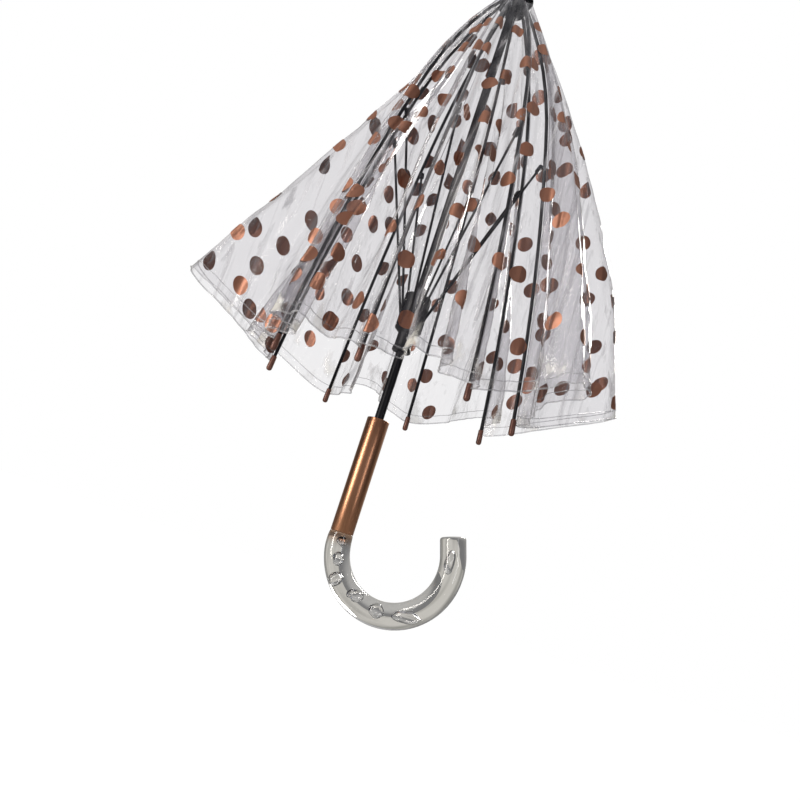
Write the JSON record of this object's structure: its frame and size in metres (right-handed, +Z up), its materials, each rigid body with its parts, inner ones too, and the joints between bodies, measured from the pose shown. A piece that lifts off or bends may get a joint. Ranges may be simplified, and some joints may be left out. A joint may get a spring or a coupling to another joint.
{
  "type": "dome umbrella",
  "caption": "Deep clear-film dome umbrella stored half closed, with a sliding runner, hinged ribs and stretchers, folding film gores and a clear hook handle on a metal sleeve.",
  "frame": {"origin": "middle of the grip, on the shaft axis, half way along the metal sleeve", "axes": "+Z up the shaft to the ferrule, +X from the shaft to the open side of the hook, ribs at every 45 degrees from +X"},
  "size_m": [0.411, 0.411, 0.732],
  "materials": {
    "black_metal": "satin black paint",
    "black_fibreglass": "satin black fibreglass",
    "black_plastic": "fine matt",
    "rose_metal": "brushed rose gold",
    "steel": "plain wire",
    "bronze_tip": "metallic brown",
    "clear_acrylic": "polished, clear",
    "clear_film": "clear soft film"
  },
  "bodies": {
    "shaft_body": {"shaft": "black_metal", "crown_notch": "black_plastic", "crown_wire": "steel", "canopy_cap": "black_plastic", "ferrule_collar": "rose_metal", "ferrule": "rose_metal", "stop_pin": "steel", "handle_sleeve": "rose_metal", "handle_core": "black_plastic", "handle_pin": "steel", "handle_hook": "clear_acrylic"},
    "runner": {"runner": "black_plastic"},
    "lower_catch": {"lower_catch": "steel"},
    "upper_catch": {"upper_catch": "steel"},
    "rib_1": {"rib_1": "black_fibreglass", "rib_tip_1": "bronze_tip"},
    "stretcher_1": {"stretcher_1": "black_metal"},
    "film_1a": {"film_1a": "clear_film"},
    "film_1b": {"film_1b": "clear_film"},
    "rib_2": {"rib_2": "black_fibreglass", "rib_tip_2": "bronze_tip"},
    "stretcher_2": {"stretcher_2": "black_metal"},
    "film_2a": {"film_2a": "clear_film"},
    "film_2b": {"film_2b": "clear_film"},
    "rib_3": {"rib_3": "black_fibreglass", "rib_tip_3": "bronze_tip"},
    "stretcher_3": {"stretcher_3": "black_metal"},
    "film_3a": {"film_3a": "clear_film"},
    "film_3b": {"film_3b": "clear_film"},
    "rib_4": {"rib_4": "black_fibreglass", "rib_tip_4": "bronze_tip"},
    "stretcher_4": {"stretcher_4": "black_metal"},
    "film_4a": {"film_4a": "clear_film"},
    "film_4b": {"film_4b": "clear_film"},
    "rib_5": {"rib_5": "black_fibreglass", "rib_tip_5": "bronze_tip"},
    "stretcher_5": {"stretcher_5": "black_metal"},
    "film_5a": {"film_5a": "clear_film"},
    "film_5b": {"film_5b": "clear_film"},
    "rib_6": {"rib_6": "black_fibreglass", "rib_tip_6": "bronze_tip"},
    "stretcher_6": {"stretcher_6": "black_metal"},
    "film_6a": {"film_6a": "clear_film"},
    "film_6b": {"film_6b": "clear_film"},
    "rib_7": {"rib_7": "black_fibreglass", "rib_tip_7": "bronze_tip"},
    "stretcher_7": {"stretcher_7": "black_metal"},
    "film_7a": {"film_7a": "clear_film"},
    "film_7b": {"film_7b": "clear_film"},
    "rib_8": {"rib_8": "black_fibreglass", "rib_tip_8": "bronze_tip"},
    "stretcher_8": {"stretcher_8": "black_metal"},
    "film_8a": {"film_8a": "clear_film"},
    "film_8b": {"film_8b": "clear_film"}
  },
  "joints": [
    {"name": "runner_slide", "type": "slide", "parent": "shaft_body", "child": "runner", "axis": [0, 0, 1], "range_m": [-0.0407, 0.111]},
    {"name": "lower_catch_press", "type": "slide", "parent": "shaft_body", "child": "lower_catch", "axis": [-0.3827, -0.9239, 0], "range_m": [0, 0.0022], "stiffness_N_per_m": 300, "springref_m": -0.001},
    {"name": "upper_catch_press", "type": "slide", "parent": "shaft_body", "child": "upper_catch", "axis": [-0.3827, -0.9239, 0], "range_m": [0, 0.0022], "stiffness_N_per_m": 300, "springref_m": -0.001},
    {"name": "rib_1_hinge", "type": "hinge", "parent": "shaft_body", "child": "rib_1", "pos_m": [0.0115, 0, 0.547], "axis": [0, -1, 0], "range_deg": [-11.2, 30.2]},
    {"name": "stretcher_1_hinge", "type": "hinge", "parent": "rib_1", "child": "stretcher_1", "pos_m": [0.07977, 0, 0.35478], "axis": [0, 1, 0], "range_deg": [-22.4, 60.4]},
    {"name": "film_1a_fold", "type": "hinge", "parent": "rib_1", "child": "film_1a", "pos_m": [0.0115, 0, 0.547], "axis": [-0.2352, 0, 0.9719], "range_deg": [-15.9, 42.9]},
    {"name": "film_1b_fold", "type": "hinge", "parent": "rib_1", "child": "film_1b", "pos_m": [0.0115, 0, 0.547], "axis": [0.2352, 0, -0.9719], "range_deg": [-15.9, 42.9]},
    {"name": "rib_2_hinge", "type": "hinge", "parent": "shaft_body", "child": "rib_2", "pos_m": [0.00813, 0.00813, 0.547], "axis": [0.7071, -0.7071, 0], "range_deg": [-11.2, 30.2]},
    {"name": "stretcher_2_hinge", "type": "hinge", "parent": "rib_2", "child": "stretcher_2", "pos_m": [0.0564, 0.0564, 0.35478], "axis": [-0.7071, 0.7071, 0], "range_deg": [-22.4, 60.4]},
    {"name": "film_2a_fold", "type": "hinge", "parent": "rib_2", "child": "film_2a", "pos_m": [0.00813, 0.00813, 0.547], "axis": [-0.1663, -0.1663, 0.9719], "range_deg": [-15.9, 42.9]},
    {"name": "film_2b_fold", "type": "hinge", "parent": "rib_2", "child": "film_2b", "pos_m": [0.00813, 0.00813, 0.547], "axis": [0.1663, 0.1663, -0.9719], "range_deg": [-15.9, 42.9]},
    {"name": "rib_3_hinge", "type": "hinge", "parent": "shaft_body", "child": "rib_3", "pos_m": [0, 0.0115, 0.547], "axis": [1, 0, 0], "range_deg": [-11.2, 30.2]},
    {"name": "stretcher_3_hinge", "type": "hinge", "parent": "rib_3", "child": "stretcher_3", "pos_m": [0, 0.07977, 0.35478], "axis": [-1, 0, 0], "range_deg": [-22.4, 60.4]},
    {"name": "film_3a_fold", "type": "hinge", "parent": "rib_3", "child": "film_3a", "pos_m": [0, 0.0115, 0.547], "axis": [0, -0.2352, 0.9719], "range_deg": [-15.9, 42.9]},
    {"name": "film_3b_fold", "type": "hinge", "parent": "rib_3", "child": "film_3b", "pos_m": [0, 0.0115, 0.547], "axis": [0, 0.2352, -0.9719], "range_deg": [-15.9, 42.9]},
    {"name": "rib_4_hinge", "type": "hinge", "parent": "shaft_body", "child": "rib_4", "pos_m": [-0.00813, 0.00813, 0.547], "axis": [0.7071, 0.7071, 0], "range_deg": [-11.2, 30.2]},
    {"name": "stretcher_4_hinge", "type": "hinge", "parent": "rib_4", "child": "stretcher_4", "pos_m": [-0.0564, 0.0564, 0.35478], "axis": [-0.7071, -0.7071, 0], "range_deg": [-22.4, 60.4]},
    {"name": "film_4a_fold", "type": "hinge", "parent": "rib_4", "child": "film_4a", "pos_m": [-0.00813, 0.00813, 0.547], "axis": [0.1663, -0.1663, 0.9719], "range_deg": [-15.9, 42.9]},
    {"name": "film_4b_fold", "type": "hinge", "parent": "rib_4", "child": "film_4b", "pos_m": [-0.00813, 0.00813, 0.547], "axis": [-0.1663, 0.1663, -0.9719], "range_deg": [-15.9, 42.9]},
    {"name": "rib_5_hinge", "type": "hinge", "parent": "shaft_body", "child": "rib_5", "pos_m": [-0.0115, 0, 0.547], "axis": [0, 1, 0], "range_deg": [-11.2, 30.2]},
    {"name": "stretcher_5_hinge", "type": "hinge", "parent": "rib_5", "child": "stretcher_5", "pos_m": [-0.07977, 0, 0.35478], "axis": [0, -1, 0], "range_deg": [-22.4, 60.4]},
    {"name": "film_5a_fold", "type": "hinge", "parent": "rib_5", "child": "film_5a", "pos_m": [-0.0115, 0, 0.547], "axis": [0.2352, 0, 0.9719], "range_deg": [-15.9, 42.9]},
    {"name": "film_5b_fold", "type": "hinge", "parent": "rib_5", "child": "film_5b", "pos_m": [-0.0115, 0, 0.547], "axis": [-0.2352, 0, -0.9719], "range_deg": [-15.9, 42.9]},
    {"name": "rib_6_hinge", "type": "hinge", "parent": "shaft_body", "child": "rib_6", "pos_m": [-0.00813, -0.00813, 0.547], "axis": [-0.7071, 0.7071, 0], "range_deg": [-11.2, 30.2]},
    {"name": "stretcher_6_hinge", "type": "hinge", "parent": "rib_6", "child": "stretcher_6", "pos_m": [-0.0564, -0.0564, 0.35478], "axis": [0.7071, -0.7071, 0], "range_deg": [-22.4, 60.4]},
    {"name": "film_6a_fold", "type": "hinge", "parent": "rib_6", "child": "film_6a", "pos_m": [-0.00813, -0.00813, 0.547], "axis": [0.1663, 0.1663, 0.9719], "range_deg": [-15.9, 42.9]},
    {"name": "film_6b_fold", "type": "hinge", "parent": "rib_6", "child": "film_6b", "pos_m": [-0.00813, -0.00813, 0.547], "axis": [-0.1663, -0.1663, -0.9719], "range_deg": [-15.9, 42.9]},
    {"name": "rib_7_hinge", "type": "hinge", "parent": "shaft_body", "child": "rib_7", "pos_m": [0, -0.0115, 0.547], "axis": [-1, 0, 0], "range_deg": [-11.2, 30.2]},
    {"name": "stretcher_7_hinge", "type": "hinge", "parent": "rib_7", "child": "stretcher_7", "pos_m": [0, -0.07977, 0.35478], "axis": [1, 0, 0], "range_deg": [-22.4, 60.4]},
    {"name": "film_7a_fold", "type": "hinge", "parent": "rib_7", "child": "film_7a", "pos_m": [0, -0.0115, 0.547], "axis": [0, 0.2352, 0.9719], "range_deg": [-15.9, 42.9]},
    {"name": "film_7b_fold", "type": "hinge", "parent": "rib_7", "child": "film_7b", "pos_m": [0, -0.0115, 0.547], "axis": [0, -0.2352, -0.9719], "range_deg": [-15.9, 42.9]},
    {"name": "rib_8_hinge", "type": "hinge", "parent": "shaft_body", "child": "rib_8", "pos_m": [0.00813, -0.00813, 0.547], "axis": [-0.7071, -0.7071, 0], "range_deg": [-11.2, 30.2]},
    {"name": "stretcher_8_hinge", "type": "hinge", "parent": "rib_8", "child": "stretcher_8", "pos_m": [0.0564, -0.0564, 0.35478], "axis": [0.7071, 0.7071, 0], "range_deg": [-22.4, 60.4]},
    {"name": "film_8a_fold", "type": "hinge", "parent": "rib_8", "child": "film_8a", "pos_m": [0.00813, -0.00813, 0.547], "axis": [-0.1663, 0.1663, 0.9719], "range_deg": [-15.9, 42.9]},
    {"name": "film_8b_fold", "type": "hinge", "parent": "rib_8", "child": "film_8b", "pos_m": [0.00813, -0.00813, 0.547], "axis": [0.1663, -0.1663, -0.9719], "range_deg": [-15.9, 42.9]}
  ],
  "couplings": [
    {"joint": "rib_1_hinge", "follows": "runner_slide", "rad_per_m": 4.717},
    {"joint": "stretcher_1_hinge", "follows": "runner_slide", "rad_per_m": 9.434},
    {"joint": "film_1a_fold", "follows": "runner_slide", "rad_per_m": 6.6981},
    {"joint": "film_1b_fold", "follows": "runner_slide", "rad_per_m": 6.6981},
    {"joint": "rib_2_hinge", "follows": "runner_slide", "rad_per_m": 4.717},
    {"joint": "stretcher_2_hinge", "follows": "runner_slide", "rad_per_m": 9.434},
    {"joint": "film_2a_fold", "follows": "runner_slide", "rad_per_m": 6.6981},
    {"joint": "film_2b_fold", "follows": "runner_slide", "rad_per_m": 6.6981},
    {"joint": "rib_3_hinge", "follows": "runner_slide", "rad_per_m": 4.717},
    {"joint": "stretcher_3_hinge", "follows": "runner_slide", "rad_per_m": 9.434},
    {"joint": "film_3a_fold", "follows": "runner_slide", "rad_per_m": 6.6981},
    {"joint": "film_3b_fold", "follows": "runner_slide", "rad_per_m": 6.6981},
    {"joint": "rib_4_hinge", "follows": "runner_slide", "rad_per_m": 4.717},
    {"joint": "stretcher_4_hinge", "follows": "runner_slide", "rad_per_m": 9.434},
    {"joint": "film_4a_fold", "follows": "runner_slide", "rad_per_m": 6.6981},
    {"joint": "film_4b_fold", "follows": "runner_slide", "rad_per_m": 6.6981},
    {"joint": "rib_5_hinge", "follows": "runner_slide", "rad_per_m": 4.717},
    {"joint": "stretcher_5_hinge", "follows": "runner_slide", "rad_per_m": 9.434},
    {"joint": "film_5a_fold", "follows": "runner_slide", "rad_per_m": 6.6981},
    {"joint": "film_5b_fold", "follows": "runner_slide", "rad_per_m": 6.6981},
    {"joint": "rib_6_hinge", "follows": "runner_slide", "rad_per_m": 4.717},
    {"joint": "stretcher_6_hinge", "follows": "runner_slide", "rad_per_m": 9.434},
    {"joint": "film_6a_fold", "follows": "runner_slide", "rad_per_m": 6.6981},
    {"joint": "film_6b_fold", "follows": "runner_slide", "rad_per_m": 6.6981},
    {"joint": "rib_7_hinge", "follows": "runner_slide", "rad_per_m": 4.717},
    {"joint": "stretcher_7_hinge", "follows": "runner_slide", "rad_per_m": 9.434},
    {"joint": "film_7a_fold", "follows": "runner_slide", "rad_per_m": 6.6981},
    {"joint": "film_7b_fold", "follows": "runner_slide", "rad_per_m": 6.6981},
    {"joint": "rib_8_hinge", "follows": "runner_slide", "rad_per_m": 4.717},
    {"joint": "stretcher_8_hinge", "follows": "runner_slide", "rad_per_m": 9.434},
    {"joint": "film_8a_fold", "follows": "runner_slide", "rad_per_m": 6.6981},
    {"joint": "film_8b_fold", "follows": "runner_slide", "rad_per_m": 6.6981}
  ]
}
